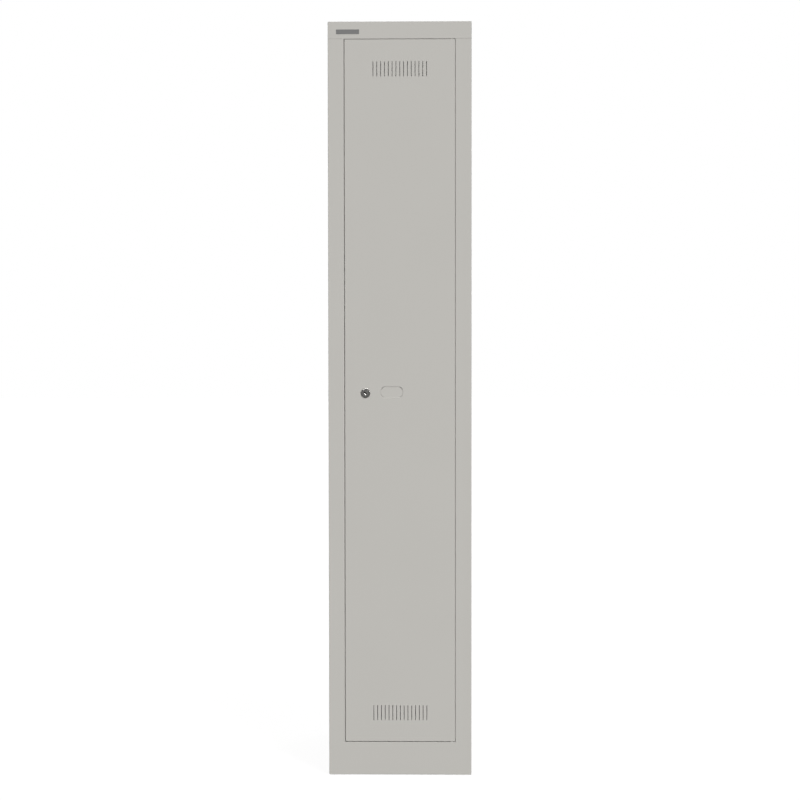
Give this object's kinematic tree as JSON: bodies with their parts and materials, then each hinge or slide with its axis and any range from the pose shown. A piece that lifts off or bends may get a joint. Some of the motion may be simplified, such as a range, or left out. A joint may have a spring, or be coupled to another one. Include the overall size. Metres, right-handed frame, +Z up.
{
  "type": "clothing locker",
  "caption": "Tall narrow free-standing steel clothing locker with a full-height hinged door, slotted vents, cam lock, label recess, hat shelf and a coat rail with sliding hooks.",
  "frame": {"origin": "on the floor, under the middle of the whole outline", "axes": "+Z up, the door faces -Y, +X to the right as seen from the front"},
  "size_m": [0.342, 0.4594, 1.802],
  "materials": {
    "paint": "light warm grey powder coat, fine texture, satin",
    "rail_steel": "bright plated tube",
    "zinc_steel": "zinc plated",
    "lock_chrome": "chrome plated, polished",
    "nylon": "moulded, natural white",
    "black_plastic": "moulded, fine grain",
    "badge_plastic": "plain satin plate",
    "rubber": "matt"
  },
  "bodies": {
    "carcass": {"left_side_panel": "paint", "right_side_panel": "paint", "back_panel": "paint", "top_cap": "paint", "plinth_panel": "paint", "floor_pan": "paint", "rear_base_rail": "paint", "hat_shelf": "paint", "shelf_brackets": "paint", "upper_hinge_plate": "paint", "lower_hinge_plate": "paint", "strike_plate": "paint", "coat_rail": "rail_steel", "rail_sockets": "black_plastic", "socket_rivets": "zinc_steel", "upper_hinge_pin": "zinc_steel", "lower_hinge_pin": "zinc_steel", "hinge_washer": "zinc_steel", "door_buffers": "rubber", "floor_glides": "black_plastic", "blank_badge": "badge_plastic"},
    "door": {"door_skin": "paint", "door_stiffener": "paint", "upper_hinge_bush": "nylon", "lower_hinge_bush": "nylon", "lock_housing": "lock_chrome", "lock_star_washer": "zinc_steel", "lock_nut": "zinc_steel"},
    "lock": {"lock_plug": "lock_chrome", "lock_cam": "zinc_steel", "cam_washer": "zinc_steel", "cam_screw": "zinc_steel"},
    "left_hook": {"left_coat_hook": "black_plastic"},
    "middle_hook": {"middle_coat_hook": "black_plastic"},
    "right_hook": {"right_coat_hook": "black_plastic"}
  },
  "joints": [
    {"name": "door_hinge", "type": "hinge", "parent": "carcass", "child": "door", "pos_m": [0.12445, -0.2232, 0.0814], "axis": [0, 0, 1], "range_deg": [0, 110]},
    {"name": "lock_turn", "type": "hinge", "parent": "door", "child": "lock", "pos_m": [-0.0825, -0.2273, 0.919], "axis": [0, 1, 0], "range_deg": [0, 90]},
    {"name": "left_hook_slide", "type": "slide", "parent": "carcass", "child": "left_hook", "axis": [1, 0, 0], "range_m": [-0.03, 0.03]},
    {"name": "middle_hook_slide", "type": "slide", "parent": "carcass", "child": "middle_hook", "axis": [1, 0, 0], "range_m": [-0.03, 0.03]},
    {"name": "right_hook_slide", "type": "slide", "parent": "carcass", "child": "right_hook", "axis": [1, 0, 0], "range_m": [-0.03, 0.03]}
  ]
}
